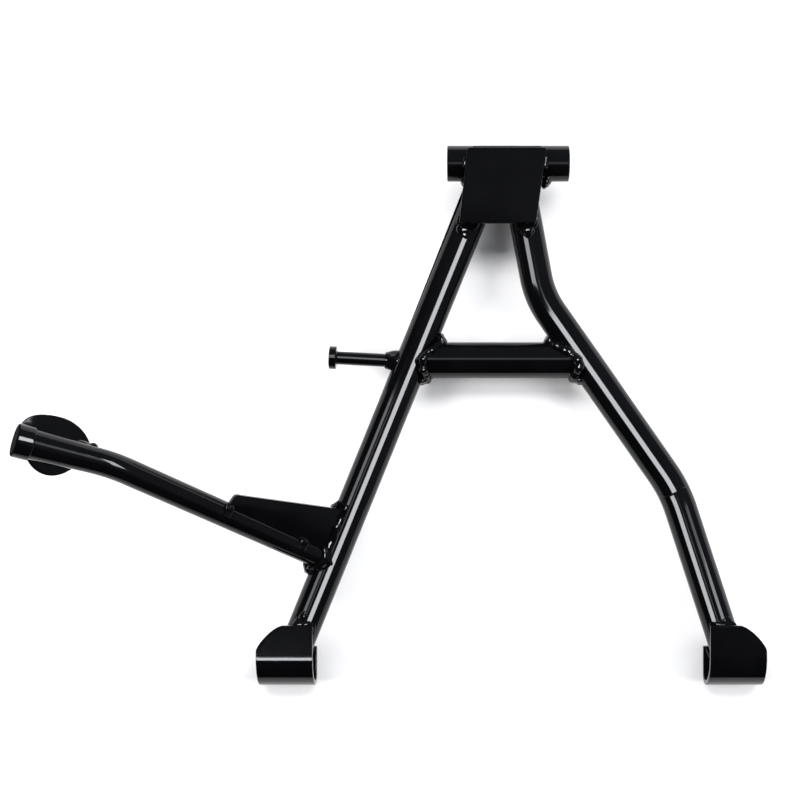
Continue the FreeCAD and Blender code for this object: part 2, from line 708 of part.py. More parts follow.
gusset_run = block("gusset_leg_run", ORIGIN, gusset_turn,
                   "Sizes.LegDiameter", "Sizes.GussetLegHeight + Sizes.WeldSize",
                   "Sizes.GussetThickness + Sizes.WeldThroat * 2")
gusset_run_corner = lever_root + gusset_normal * (size("GussetOffset") - gusset_half - throat)
if across_sign < 0:
    gusset_run_corner = gusset_run_corner - gusset_turn.multVec(Y_AXIS) * (gusset_top + weld)
gusset_run.Placement.Base = gusset_run_corner
cut("gusset_leg_weld", common("gusset_leg_bead", gusset_run, left_sheath),
    left_solid, lever_gusset, lever_solid, lever_weld)

tack_height = "Sizes.LeverDiameter / 2 + Sizes.WeldThroat"
tip_tack = size("GussetReach") + throat - size("TackLength")
leg_tack = leg_radius + size("TackFromLeg")
tacks = []
for number, reach in enumerate((tip_tack, leg_tack), start=1):
    tack_start = lever_root + along * reach
    sheath = cylinder("gusset_tack_%d" % number, tack_start, along, tack_height, "Sizes.TackLength")
    keep = block("gusset_tack_keep_%d" % number, ORIGIN, gusset_turn, "Sizes.TackLength",
                 tack_height, "Sizes.WeldThroat")
    keep_corner = tack_start + gusset_normal * (size("GussetOffset") + gusset_half)
    if across_sign < 0:
        keep_corner = keep_corner - gusset_turn.multVec(Y_AXIS) * (size("LeverDiameter") / 2 + throat)
    keep.Placement.Base = keep_corner
    tacks.append(common("gusset_tack_bead_%d" % number, sheath, keep))
cut("gusset_lever_weld", fuse("gusset_tacks", *tacks), lever_solid, lever_gusset)

pedal_run = block("pedal_run", ORIGIN, pedal_turn, "Sizes.PedalWeldLength", "Sizes.PedalWeldWidth",
                  "Sizes.PedalThickness + Sizes.WeldSize")
pedal_run_start = lever_tip - tip_out * (size("PedalFromTip") + size("PedalLength") / 2 + throat)
pedal_run.Placement.Base = (pedal_run_start + pedal_back * (pedal_seat + size("PedalThickness"))
                            - pedal_turn.multVec(Y_AXIS) * size("PedalWeldWidth") / 2)
cut("pedal_weld", pedal_run, lever_solid, pedal_plate, lever_cap)

pin_collar = cone("pin_collar", pin_root, pin_out, "Sizes.PinWeldDiameter / 2",
                  "Sizes.PinDiameter / 2 + Sizes.PinWeldNeck", "Sizes.LegDiameter / 2 + Sizes.PinWeldLength")
cut("pin_weld", pin_collar, spring_pin, left_solid)

# Write every sub-part once all of the document is sound

NODES = [
    "pivot_tube", "top_plate", "left_leg", "right_leg", "crossbar", "left_foot", "right_foot",
    "lever_tube", "lever_end_cap", "lever_gusset", "pedal_plate", "spring_pin",
    "left_leg_pivot_weld", "right_leg_pivot_weld", "plate_edge_weld",
    "plate_left_side_weld", "plate_right_side_weld", "plate_left_leg_weld", "plate_right_leg_weld",
    "crossbar_left_weld", "crossbar_right_weld",
    "left_foot_front_weld", "left_foot_back_weld", "right_foot_front_weld", "right_foot_back_weld",
    "lever_leg_weld", "gusset_leg_weld", "gusset_lever_weld", "pedal_weld", "pin_weld",
]

doc.recompute()
for item in doc.Objects:
    if "Invalid" in item.State or "Error" in item.State:
        raise RuntimeError("%s failed: %s" % (item.Name, item.State))
for node in NODES:
    shape = doc.getObject(node).Shape
    if shape.isNull() or not shape.isValid() or not shape.Solids:
        raise RuntimeError("%s has no sound solid" % node)
for node in NODES:
    shape = doc.getObject(node).Shape
    shape.exportStep("parts/%s.step" % node)
    print("%-24s solids %d  volume %.0f" % (node, len(shape.Solids), shape.Volume))
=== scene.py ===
import math

import bmesh
import bpy
from mathutils import Matrix, Vector, noise


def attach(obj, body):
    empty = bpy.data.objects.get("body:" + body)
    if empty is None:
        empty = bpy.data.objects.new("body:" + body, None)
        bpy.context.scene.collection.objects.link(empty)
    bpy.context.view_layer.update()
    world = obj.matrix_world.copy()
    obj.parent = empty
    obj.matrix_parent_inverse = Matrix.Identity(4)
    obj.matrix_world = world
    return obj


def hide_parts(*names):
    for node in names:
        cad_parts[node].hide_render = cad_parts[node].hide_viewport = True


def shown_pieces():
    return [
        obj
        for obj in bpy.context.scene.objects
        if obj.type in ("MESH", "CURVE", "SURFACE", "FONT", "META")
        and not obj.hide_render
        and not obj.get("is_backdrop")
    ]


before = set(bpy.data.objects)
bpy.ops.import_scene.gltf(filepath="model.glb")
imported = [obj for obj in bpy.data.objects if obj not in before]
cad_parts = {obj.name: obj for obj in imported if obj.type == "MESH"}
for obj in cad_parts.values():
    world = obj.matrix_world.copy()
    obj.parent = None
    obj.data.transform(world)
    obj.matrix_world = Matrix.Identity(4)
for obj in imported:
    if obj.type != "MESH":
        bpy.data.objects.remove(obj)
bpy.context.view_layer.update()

mm = 0.001
print("frame loaded")


# Materials

class Value:
    # A socket in a node tree; arithmetic on it adds Math nodes
    def __init__(self, tree, socket):
        self.tree = tree
        self.socket = socket

    def node(self, kind, settings, inputs, output=0):
        node = self.tree.nodes.new(kind)
        for name, setting in settings.items():
            setattr(node, name, setting)
        for name, item in inputs.items():
            feed(self.tree, node.inputs[name], item)
        return Value(self.tree, node.outputs[output])

    def math(self, operation, other):
        return self.node("ShaderNodeMath", {"operation": operation}, {0: self, 1: other})

    def __add__(self, other):
        return self.math("ADD", other)

    def __mul__(self, other):
        return self.math("MULTIPLY", other)

    __radd__ = __add__
    __rmul__ = __mul__

    def clamped(self, low, high):
        return self.node("ShaderNodeMapRange", {}, {"Value": self, "From Min": low, "From Max": high})

    def mixed(self, first, second):
        # From the first colour to the second as this value goes from 0 to 1
        return self.node("ShaderNodeMix", {"data_type": "RGBA"}, {"Factor": self, 6: first, 7: second}, 2)


def feed(tree, slot, item):
    if isinstance(item, Value):
        tree.links.new(item.socket, slot)
    else:
        slot.default_value = item


def newMaterial(name):
    material = bpy.data.materials.new(name)
    material.use_nodes = True
    tree = material.node_tree
    where = tree.nodes.new("ShaderNodeTexCoord")
    return material, tree, tree.nodes["Principled BSDF"], Value(tree, where.outputs["Object"])


paintLook = {"colour": (0.0016, 0.0017, 0.002, 1), "colourWorn": (0.0026, 0.0027, 0.0032, 1),
             "patchScale": 38, "patchDetail": 3, "patchRange": (0.35, 0.7),
             "roughness": 0.055, "roughnessSwing": 0.035, "ior": 1.31,
             "peelScale": 700, "peelDepth": 0.0022, "waveScale": 90, "waveDepth": 0.008, "bumpDetail": 1}


def paint(name, look):
    # Gloss paint: fine orange peel over a slow wave, colour and roughness a little uneven
    material, tree, shader, where = newMaterial(name)

    def spots(scale, detail):
        return where.node("ShaderNodeTexNoise", {}, {"Vector": where, "Scale": scale, "Detail": detail})

    patches = spots(look["patchScale"], look["patchDetail"])
    colour = patches.clamped(*look["patchRange"]).mixed(look["colour"], look["colourWorn"])
    feed(tree, shader.inputs["Base Color"], colour)
    feed(tree, shader.inputs["Roughness"], look["roughness"] + look["roughnessSwing"] * patches)
    peel = look["peelDepth"] * spots(look["peelScale"], look["bumpDetail"])
    wave = look["waveDepth"] * spots(look["waveScale"], look["bumpDetail"])
    bump = where.node("ShaderNodeBump", {}, {"Height": peel + wave, "Strength": 1, "Distance": mm})
    feed(tree, shader.inputs["Normal"], bump)
    shader.inputs["IOR"].default_value = look["ior"]
    return material


paintBlack = paint("paintBlack", paintLook)
paintWeld = paint("paintWeld", dict(paintLook, roughness=0.04))
paintDull = paint("paintDull", dict(paintLook, roughness=0.5, ior=1.03))  # mirrors hardly any of the floor
blackCoat = (paintBlack, "black_paint")
weldCoat = (paintWeld, "painted_weld")


# Mesh helpers

def finishPiece(name, mesh, nodes, coat=blackCoat, sharp=40):
    # nodes: the part's nodes that this piece stands for
    data = bpy.data.meshes.new(name)
    bmesh.ops.recalc_face_normals(mesh, faces=mesh.faces)
    for face in mesh.faces:
        face.smooth = True
    for edge in mesh.edges:
        if edge.is_manifold and edge.calc_face_angle(0) > math.radians(sharp):
            edge.smooth = False
    mesh.to_mesh(data)
    mesh.free()
    piece = bpy.data.objects.new(name, data)
    bpy.context.scene.collection.objects.link(piece)
    material, slot = coat
    data.materials.append(material)
    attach(piece, "root")
    if nodes:
        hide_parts(*nodes)
    return piece


def modifier(piece, kind, **settings):
    added = piece.modifiers.new(kind.lower(), kind)
    for name, setting in settings.items():
        setattr(added, name, setting)


def frameAt(point, direction):
    z = direction.normalized()
    x = Vector((0, 0, 1)) if abs(z.z) < 0.9 else Vector((1, 0, 0))
    x = (x - z * x.dot(z)).normalized()
    turn = Matrix((x, z.cross(x), z)).transposed().to_4x4()
    return Matrix.Translation(point) @ turn


def vertsOf(edges):
    return list({vert for edge in edges for vert in edge.verts})


def runTo(mesh, edges, step):
    made = bmesh.ops.extrude_edge_only(mesh, edges=edges)["geom"]
    verts = [item for item in made if isinstance(item, bmesh.types.BMVert)]
    bmesh.ops.translate(mesh, verts=verts, vec=step)
    return [item for item in made if isinstance(item, bmesh.types.BMEdge)
            and item.verts[0] in verts and item.verts[1] in verts]


def bendRound(mesh, edges, centre, axis, angle):
    made = bmesh.ops.spin(mesh, geom=edges, cent=centre, axis=axis, angle=angle,
                          steps=max(8, int(math.degrees(angle))), use_merge=False)
    return [item for item in made["geom_last"] if isinstance(item, bmesh.types.BMEdge)]


# Rings close to a tube's ends keep the shading of its long sides straight
tubeMesh = {"sides": 72, "firstRing": 16 * mm, "lastRing": 1 * mm}


def bentTube(corners, bends, radius, last=tubeMesh["lastRing"]):
    # A tube surface along straight runs and tangent bends; returns the mesh, first and last ring
    mesh = bmesh.new()
    direction = (corners[1] - corners[0]).normalized()
    made = bmesh.ops.create_circle(mesh, cap_ends=False, radius=radius, segments=tubeMesh["sides"],
                                   matrix=frameAt(corners[0], direction))
    first = list({edge for vert in made["verts"] for edge in vert.link_edges})
    edges = runTo(mesh, first, direction * tubeMesh["firstRing"])
    start = corners[0] + direction * tubeMesh["firstRing"]
    for number, bendRadius in enumerate(bends, start=1):
        corner = corners[number]
        back = (start - corner).normalized()
        ahead = (corners[number + 1] - corner).normalized()
        turn = math.pi - back.angle(ahead)
        setback = bendRadius * math.tan(turn / 2)
        centre = corner + (back + ahead).normalized() * (bendRadius / math.cos(turn / 2))
        edges = runTo(mesh, edges, corner + back * setback - start)
        edges = bendRound(mesh, edges, centre, (-back).cross(ahead).normalized(), turn)
        start = corner + ahead * setback
    ahead = (corners[-1] - start).normalized()
    edges = runTo(mesh, edges, corners[-1] - start - ahead * last)
    edges = runTo(mesh, edges, ahead * last)
    return mesh, first, edges


def cope(ring, direction, point, axis, radius):
    # Slides each vertex of a ring along its tube until it lies on another tube's surface
    axis = axis.normalized()
    direction = direction.normalized()
    crossing = direction - axis * direction.dot(axis)
    for vert in vertsOf(ring):
        offset = vert.co - point
        offset = offset - axis * offset.dot(axis)
        a, b, c = crossing.dot(crossing), 2 * offset.dot(crossing), offset.dot(offset) - radius * radius
        inside = max(0.0, b * b - 4 * a * c)
        vert.co += direction * ((-b + math.sqrt(inside)) / (2 * a))


# The legs' lines, with the part's sizes: drops and angles are measured from straight down, at the pivot

leftLook = {"top": -10.8, "angle": -22.13, "end": 347}
rightLook = {"top": 4.7, "angles": (10.72, 34.9, 18.1), "bendDrops": (93.1, 228.3), "bendRadii": (65, 100)}
tubeLook = {"legRadius": 11.5, "legWall": 2.5, "pivotRadius": 12.5, "pivotOverlap": 0.2, "barRadius": 12.7,
            "barDrop": 137.6, "barSeat": 12.9, "barRing": 18}


def downwards(degrees):
    a = math.radians(degrees)
    return Vector((math.sin(a), -math.cos(a), 0))


def dropped(start, degrees, drop):
    return start + downwards(degrees) * (drop * mm / math.cos(math.radians(degrees)))


upperDrop, lowerDrop = rightLook["bendDrops"]
upperAngle, middleAngle, lowerAngle = rightLook["angles"]
leftTop = Vector((leftLook["top"], 0, 0)) * mm
leftDown = downwards(leftLook["angle"])
rightTop = Vector((rightLook["top"], 0, 0)) * mm
upperBend = dropped(rightTop, upperAngle, upperDrop)
lowerBend = dropped(upperBend, middleAngle, lowerDrop - upperDrop)
rightEnd = dropped(lowerBend, lowerAngle, leftLook["end"] - lowerDrop)
sideways = Vector((1, 0, 0))


def leftAt(drop):
    return dropped(leftTop, leftLook["angle"], drop)


def rightAt(drop):
    if drop <= upperDrop:
        return dropped(rightTop, upperAngle, drop)
    if drop <= lowerDrop:
        return dropped(upperBend, middleAngle, drop - upperDrop)
    return dropped(lowerBend, lowerAngle, drop - lowerDrop)


# Legs

legRadius = tubeLook["legRadius"] * mm
pivotSeat = tubeLook["pivotRadius"] * mm - tubeLook["pivotOverlap"] * mm
left, topRing, endRing = bentTube([leftTop, leftAt(leftLook["end"])], [], legRadius)
cope(topRing, leftDown, Vector(), sideways, pivotSeat)
leftPiece = finishPiece("legLeft", left, ["left_leg"])
modifier(leftPiece, "SOLIDIFY", thickness=tubeLook["legWall"] * mm, offset=-1)

# The right leg is built whole twice and cut in the middle of its lower bend
bendCut = (downwards(middleAngle) + downwards(lowerAngle)).normalized()
rightCorners = [rightTop, upperBend, lowerBend, rightEnd]
rightBends = [radius * mm for radius in rightLook["bendRadii"]]
rightPieces = []
for name, side in (("legRight", 1), ("legRightLower", -1)):
    right, topRing, endRing = bentTube(rightCorners, rightBends, legRadius)
    cope(topRing, downwards(upperAngle), Vector(), sideways, pivotSeat)
    bmesh.ops.bisect_plane(right, geom=right.verts[:] + right.edges[:] + right.faces[:], plane_co=lowerBend,
                           plane_no=bendCut * side, clear_outer=True)
    rightPiece = finishPiece(name, right, ["right_leg"])
    modifier(rightPiece, "SOLIDIFY", thickness=tubeLook["legWall"] * mm, offset=-1)
    rightPieces.append(rightPiece)

# Crossbar, its ends on the legs' surfaces
barEnds = [leftAt(tubeLook["barDrop"]), rightAt(tubeLook["barDrop"])]
bar, leftRing, rightRing = bentTube(barEnds, [], tubeLook["barRadius"] * mm, last=tubeLook["barRing"] * mm)
cope(leftRing, sideways, leftTop, leftDown, tubeLook["barSeat"] * mm)
cope(rightRing, -sideways, upperBend, downwards(middleAngle), tubeLook["barSeat"] * mm)
barPiece = finishPiece("crossbar_tube", bar, ["crossbar"])


# Foot lever: rises from the left leg, bends once, and flares over its last stretch

leverLook = {"drop": 278.3, "sweep": 29.65, "rise": 34.1, "run": 174.8, "tipSweep": 17.46, "tipRise": 25.7,
             "tipRun": 59.9, "bendRadius": 90, "diameter": 17, "tipDiameter": 19.4, "flare": 46, "seat": 0.3}


def rising(sweep, rise):
    s, r = math.radians(sweep), math.radians(rise)
    return Vector((-math.cos(r) * math.cos(s), math.cos(r) * math.sin(s), math.sin(r)))


leverRoot = leftAt(leverLook["drop"])
leverOut = rising(leverLook["sweep"], leverLook["rise"])
tipOut = rising(leverLook["tipSweep"], leverLook["tipRise"])
leverBend = leverRoot + leverOut * leverLook["run"] * mm
leverTip = leverBend + tipOut * leverLook["tipRun"] * mm
flareRun = tipOut * leverLook["flare"] * mm
leverCorners = [leverRoot, leverBend, leverTip - flareRun]
leverRadius = leverLook["diameter"] / 2 * mm
lever, rootRing, flareRing = bentTube(leverCorners, [leverLook["bendRadius"] * mm], leverRadius)
cope(rootRing, leverOut, leftTop, leftDown, legRadius - leverLook["seat"] * mm)
tipRing = runTo(lever, flareRing, flareRun)
bmesh.ops.scale(lever, verts=vertsOf(tipRing), vec=(leverLook["tipDiameter"] / leverLook["diameter"],) * 3,
                space=Matrix.Translation(-leverTip))
leverPiece = finishPiece("lever_pipe", lever, ["lever_tube"])
print("tubes made")


# Turned pieces: pivot sleeve, lever cap and spring pin

def turnedPiece(name, profile, start, direction, nodes, steps=96, sharp=35):
    # A profile of (radius, distance) points spun round an axis
    mesh = bmesh.new()
    verts = [mesh.verts.new((r * mm, 0, z * mm)) for r, z in profile]
    edges = [mesh.edges.new(pair) for pair in zip(verts, verts[1:])]
    bmesh.ops.spin(mesh, geom=verts + edges, cent=(0, 0, 0), axis=(0, 0, 1), angle=math.tau, steps=steps,
                   use_merge=True)
    bmesh.ops.remove_doubles(mesh, verts=mesh.verts, dist=1e-6)
    bmesh.ops.transform(mesh, matrix=frameAt(start, direction), verts=mesh.verts)
    return finishPiece(name, mesh, nodes, sharp=sharp)


def arc(centre, radius, first, last, count=6):
    return [(centre[0] + radius * math.cos(math.radians(first + (last - first) * i / count)),
             centre[1] + radius * math.sin(math.radians(first + (last - first) * i / count)))
            for i in range(count + 1)]


pivotLook = {"bore": 8.5, "radius": 12.5, "length": 85, "rim": 0.8}
bore, rim, length = pivotLook["bore"], pivotLook["rim"], pivotLook["length"]
shoulder = pivotLook["radius"] - rim
pivotProfile = [(bore, rim), (bore + rim, 0)] + arc((shoulder, rim), rim, -90, 0)
pivotProfile += arc((shoulder, length - rim), rim, 0, 90)
pivotProfile += [(bore + rim, length), (bore, length - rim), (bore, rim)]
pivotPiece = turnedPiece("pivot_sleeve", pivotProfile, sideways * -length / 2 * mm, sideways, ["pivot_tube"])

capLook = {"mouth": 9.75, "radius": 10.5, "lip": 0.4, "collar": 1.5, "rim": 1.4, "length": 10.4, "back": 9.6}
capProfile = [(capLook["mouth"], 0)]
capProfile += arc((capLook["radius"] - capLook["lip"], capLook["lip"]), capLook["lip"], -90, 0, 3)
capProfile += [(capLook["radius"], capLook["collar"])]
rim = capLook["rim"]
capProfile += arc((capLook["radius"] - rim, capLook["length"] - rim), rim, 0, 90)
capProfile += [(0, capLook["length"])]
capSeat = leverTip - tipOut * capLook["back"] * mm
capPiece = turnedPiece("lever_cap", capProfile, capSeat, tipOut, ["lever_end_cap"])
capPiece.data.materials.append(paintDull)
for face in capPiece.data.polygons:
    if face.normal.dot(tipOut) > 0.5:
        face.material_index = 1

pinLook = {"shank": 4.6, "start": 8, "shoulder": 51.8, "fillet": 1.0, "head": 8, "rim": 0.6, "end": 57.8,
           "drop": 138.65, "tilt": 3}
neck, rim = pinLook["shoulder"] + pinLook["fillet"], pinLook["rim"]
pinProfile = [(pinLook["shank"], pinLook["start"]), (pinLook["shank"], pinLook["shoulder"])]
pinProfile += arc((pinLook["shank"] + pinLook["fillet"], pinLook["shoulder"]), pinLook["fillet"], 180, 90, 5)
pinProfile += [(pinLook["head"] - rim, neck)] + arc((pinLook["head"] - rim, neck + rim), rim, -90, 0, 4)
pinProfile += arc((pinLook["head"] - rim, pinLook["end"] - rim), rim, 0, 90, 4) + [(0, pinLook["end"])]
pinTilt = math.radians(pinLook["tilt"])
pinOut = Vector((-math.cos(pinTilt), math.sin(pinTilt), 0))
pinPiece = turnedPiece("pin_turned", pinProfile, leftAt(pinLook["drop"]), pinOut, ["spring_pin"])
print("turned pieces made")


# Plates

def platePiece(name, corners, look, place, nodes):
    # An outline, its corners rounded, raised to its thickness and its rims eased
    mesh = bmesh.new()
    mesh.faces.new([mesh.verts.new((x * mm, y * mm, 0)) for x, y in corners])
    if look["corner"]:
        bmesh.ops.bevel(mesh, geom=list(mesh.verts), offset=look["corner"] * mm, offset_type="OFFSET",
                        segments=6, profile=0.5, affect="VERTICES", material=-1)
    made = bmesh.ops.extrude_face_region(mesh, geom=mesh.faces[:])["geom"]
    bmesh.ops.translate(mesh, verts=[item for item in made if isinstance(item, bmesh.types.BMVert)],
                        vec=(0, 0, look["thickness"] * mm))
    bmesh.ops.recalc_face_normals(mesh, faces=mesh.faces)
    rims = [edge for edge in mesh.edges if abs(edge.verts[0].co.z - edge.verts[1].co.z) < 1e-7]
    bmesh.ops.bevel(mesh, geom=rims, offset=look["rim"] * mm, offset_type="OFFSET", segments=look["rimSteps"],
                    profile=0.5, affect="EDGES", material=-1)
    bmesh.ops.transform(mesh, matrix=place, verts=mesh.verts)
    return finishPiece(name, mesh, nodes)


def axesAt(point, x, y, z):
    return Matrix.Translation(point) @ Matrix((x, y, z)).transposed().to_4x4()


plateLook = {"middle": -1.2, "halfWidth": 27.35, "top": 8.3, "low": -44, "lowDrop": 42.5, "overhang": 6.1,
             "thickness": 4, "seat": 12.5, "corner": 1.5, "rim": 1.0, "rimSteps": 4}
plateCorners = [(plateLook["middle"] - plateLook["halfWidth"], plateLook["top"]),
                (plateLook["middle"] + plateLook["halfWidth"], plateLook["top"]),
                (rightAt(plateLook["lowDrop"]).x / mm + plateLook["overhang"], plateLook["low"]),
                (leftAt(plateLook["lowDrop"]).x / mm - plateLook["overhang"], plateLook["low"])]
plateSeat = Matrix.Translation((0, 0, plateLook["seat"] * mm))
platePiece("plate_flat", plateCorners, plateLook, plateSeat, ["top_plate"])

# Gusset in the corner between the left leg and the lever; its outline runs along the lever and up the leg
gussetLook = {"near": 3, "far": 93.5, "nearFoot": 2, "farFoot": 4, "farStep": 8.5, "nose": (4.6, 4.1),
              "noseTop": 16.4, "noseRound": 4, "crest": 11.5, "top": 37.4, "lift": 4.5,
              "thickness": 4, "corner": 0, "rim": 0.5, "rimSteps": 3}
upLeg = leftDown * -1
upLeg = (upLeg - leverOut * upLeg.dot(leverOut)).normalized()
gussetNormal = leverOut.cross(upLeg).normalized()
if gussetNormal.z < 0:
    gussetNormal = -gussetNormal
gussetSeat = leverRoot + gussetNormal * (gussetLook["lift"] - gussetLook["thickness"] / 2) * mm
near, far = gussetLook["near"], gussetLook["far"]
noseCentre = (far - gussetLook["nose"][0], gussetLook["noseTop"] - gussetLook["nose"][1])
gussetCorners = [(near, gussetLook["nearFoot"]), (far, gussetLook["farFoot"]), (far, gussetLook["farStep"])]
gussetCorners += arc(noseCentre, gussetLook["noseRound"], 0, 90)
gussetCorners += [(gussetLook["crest"], gussetLook["top"]), (near, gussetLook["top"])]
gussetPlace = axesAt(gussetSeat, leverOut, upLeg, gussetNormal)
gussetPiece = platePiece("gusset_flat", gussetCorners, gussetLook, gussetPlace, ["lever_gusset"])

# Pedal: four arcs make an oval, squarer at the tip on its far side and shorter on its near side
pedalLook = {"tilt": 14, "back": 24, "side": 4, "halfLength": 23, "halfWidth": 18.2, "endRadius": 13,
             "arcSteps": 20, "farSwell": 0.45, "nearCut": 0.2, "nearDepth": 12, "nearSpread": 1.05,
             "thickness": 3.5, "corner": 0, "rim": 1.2, "rimSteps": 4}
tipLevel = Vector((0, 0, 1)).cross(tipOut).normalized() * -1
tipAbove = tipLevel.cross(tipOut).normalized()
tilt = math.radians(pedalLook["tilt"])
pedalAcross = tipLevel * math.cos(tilt) - tipAbove * math.sin(tilt)
pedalBack = tipLevel * -math.sin(tilt) - tipAbove * math.cos(tilt)
pedalMiddle = leverTip - tipOut * pedalLook["back"] * mm + pedalAcross * pedalLook["side"] * mm
pedalDepth = (leverLook["diameter"] + leverLook["tipDiameter"]) / 4 + pedalLook["thickness"]
pedalUp = pedalBack * -1
pedalPlace = axesAt(pedalMiddle + pedalBack * pedalDepth * mm, tipOut, pedalUp.cross(tipOut), pedalUp)
halfWidth, endRadius, arcSteps = pedalLook["halfWidth"], pedalLook["endRadius"], pedalLook["arcSteps"]
endCentre = pedalLook["halfLength"] - endRadius
sideRadius = (endCentre ** 2 + halfWidth ** 2 - endRadius ** 2) / (2 * (halfWidth - endRadius))
sideCentre = sideRadius - halfWidth
blend = math.degrees(math.atan2(sideCentre, endCentre))
oval = []
for centre, radius, first, last in (((endCentre, 0), endRadius, -blend, blend),
                                    ((0, -sideCentre), sideRadius, blend, 180 - blend),
                                    ((-endCentre, 0), endRadius, 180 - blend, 180 + blend),
                                    ((0, sideCentre), sideRadius, 180 + blend, 360 - blend)):
    oval += arc(centre, radius, first, last, arcSteps)[:-1]


def reshaped(u, v):
    if v > 0:
        cut = pedalLook["nearCut"] * min(v, pedalLook["nearDepth"]) / pedalLook["nearDepth"]
        return u * (1 - cut), v * pedalLook["nearSpread"]
    swell = pedalLook["farSwell"] * (v / halfWidth) ** 2 if u > 0 else 0
    return u * (1 + swell), v


pedalCorners = [reshaped(u, v) for u, v in oval]
pedalPiece = platePiece("pedal_oval", pedalCorners, pedalLook, pedalPlace, ["pedal_plate"])
print("plates made")


# Feet: a strap bent to a J, with one corner cut back

footLook = {"drop": 343, "inset": 4.4, "width": 39, "thickness": 3.5, "corner": 17.5, "cornerPower": 1.35,
            "outside": 15, "frontRadius": 23, "flat": 22, "tail": 19, "flatSteps": 16, "frontSteps": 24,
            "backSteps": 12, "tailSteps": 6, "columns": 20, "rim": 0.9, "rimSteps": 3, "rimAngle": 50}


def strapFoot(name, centreX, outward, node):
    look = footLook
    outside, frontRadius, corner = look["outside"], look["frontRadius"], look["corner"]
    width, power, columns = look["width"], look["cornerPower"], look["columns"]
    bendY = -look["drop"]
    flatTop = bendY + look["flat"]
    backRadius = 2 * outside - frontRadius
    backY = bendY - frontRadius + backRadius
    line = [(flatTop - look["flat"] * i / look["flatSteps"], outside) for i in range(look["flatSteps"])]
    line += arc((bendY, outside - frontRadius), frontRadius, 90, 180, look["frontSteps"])
    line += arc((backY, backRadius - outside), backRadius, 180, 270, look["backSteps"])[1:]
    line += [(backY + look["tail"] * i / look["tailSteps"], -outside)
             for i in range(1, look["tailSteps"] + 1)]
    innerX = centreX - outward * width / 2
    mesh = bmesh.new()
    rows = []
    for y, z in line:
        depth = flatTop - y if z > outside - 1e-6 else corner
        short = max(0.0, 1 - depth / corner)
        reach = width - corner + corner * (1 - short ** power) ** (1 / power)
        rows.append([mesh.verts.new(((innerX + outward * reach * k / columns) * mm, y * mm, z * mm))
                     for k in range(columns + 1)])
    for above, below in zip(rows, rows[1:]):
        for k in range(columns):
            mesh.faces.new((above[k], above[k + 1], below[k + 1], below[k]))
    piece = finishPiece(name, mesh, [node])
    modifier(piece, "SOLIDIFY", thickness=look["thickness"] * mm, offset=-1)
    modifier(piece, "BEVEL", width=look["rim"] * mm, segments=look["rimSteps"], limit_method="ANGLE",
             angle_limit=math.radians(look["rimAngle"]))
    return piece


feet = [strapFoot("foot_left_strap", leftAt(footLook["drop"]).x / mm - footLook["inset"], -1, "left_foot"),
        strapFoot("foot_right_strap", rightAt(footLook["drop"]).x / mm + footLook["inset"], 1, "right_foot")]
print("feet made")


# Weld beads: the part's own, rounded over and given lumps

weldLook = {"cell": 0.00045, "rounding": 14, "lumpSize": 0.005, "lumpDepth": 0.0015, "rippleSize": 0.0022,
            "rippleDepth": 0.00014, "settling": 3, "plateEdgeSink": 0.0014}


def lumpTexture(name, size):
    texture = bpy.data.textures.new(name, "CLOUDS")
    texture.noise_scale = size
    texture.noise_depth = 0
    return texture


lumpsWide = lumpTexture("lumpsWide", weldLook["lumpSize"])
lumpsFine = lumpTexture("lumpsFine", weldLook["rippleSize"])
welds = []
for name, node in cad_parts.items():
    node.data.materials.clear()
    if "weld" not in name:
        node.data.materials.append(paintBlack)
        continue
    node.data.materials.append(paintWeld)
    welds.append(node)
    modifier(node, "REMESH", mode="VOXEL", voxel_size=weldLook["cell"], use_smooth_shade=True)
    modifier(node, "SMOOTH", factor=0.5, iterations=weldLook["rounding"])
    if "edge" in name:
        modifier(node, "DISPLACE", strength=-weldLook["plateEdgeSink"], mid_level=0.0)
        continue
    for texture, depth in ((lumpsWide, weldLook["lumpDepth"]), (lumpsFine, weldLook["rippleDepth"])):
        modifier(node, "DISPLACE", texture=texture, strength=depth, mid_level=0.5, texture_coords="LOCAL")
    modifier(node, "SMOOTH", factor=0.5, iterations=weldLook["settling"])

# Webs of weld metal that fill the corners between the pieces: place, half sizes and turn, in mm and degrees
webLook = {"web_bar_left_top": ((-46.2, -124.0, -1.0), (6.5, 3.2, 8.5), -61.8),
           "web_bar_right_top": ((28.8, -124.2, -1.0), (6.2, 3.4, 8.5), 72.0),
           "web_bar_left_low": ((-58.1, -151.3, -1.0), (6.6, 2.7, 8.5), 26.6),
           "web_bar_right_low": ((48.6, -151.2, -1.0), (6.8, 3.0, 8.5), -22.4),
           "web_pivot_left": ((-30.6, -11.6, 0.0), (5.0, 2.6, 7.0), 90.0),
           "web_pivot_right": ((27.4, -12.0, 0.0), (6.2, 3.0, 7.0), 60.0),
           "web_gusset": ((-119.2, -239.2, 5.0), (6.0, 2.8, 4.0), 30.6),
           "web_plate_left": ((-31.0, -48.6, 8.4), (6.6, 5.2, 5.0), -68.0),
           "web_plate_right": ((13.4, -48.2, 8.6), (6.2, 5.2, 5.2), -79.0),
           "web_foot_left": ((-142.2, -316.9, 9.3), (6.6, 3.4, 3.2), 68.0),
           "web_foot_right": ((149.5, -319.5, 8.4), (8.6, 4.4, 3.4), -14.0),
           "web_lever": ((-139.4, -282.2, 3.0), (6.2, 3.2, 6.5), -70.0)}
webLumps = {"size": 0.0026, "depth": 0.0008}
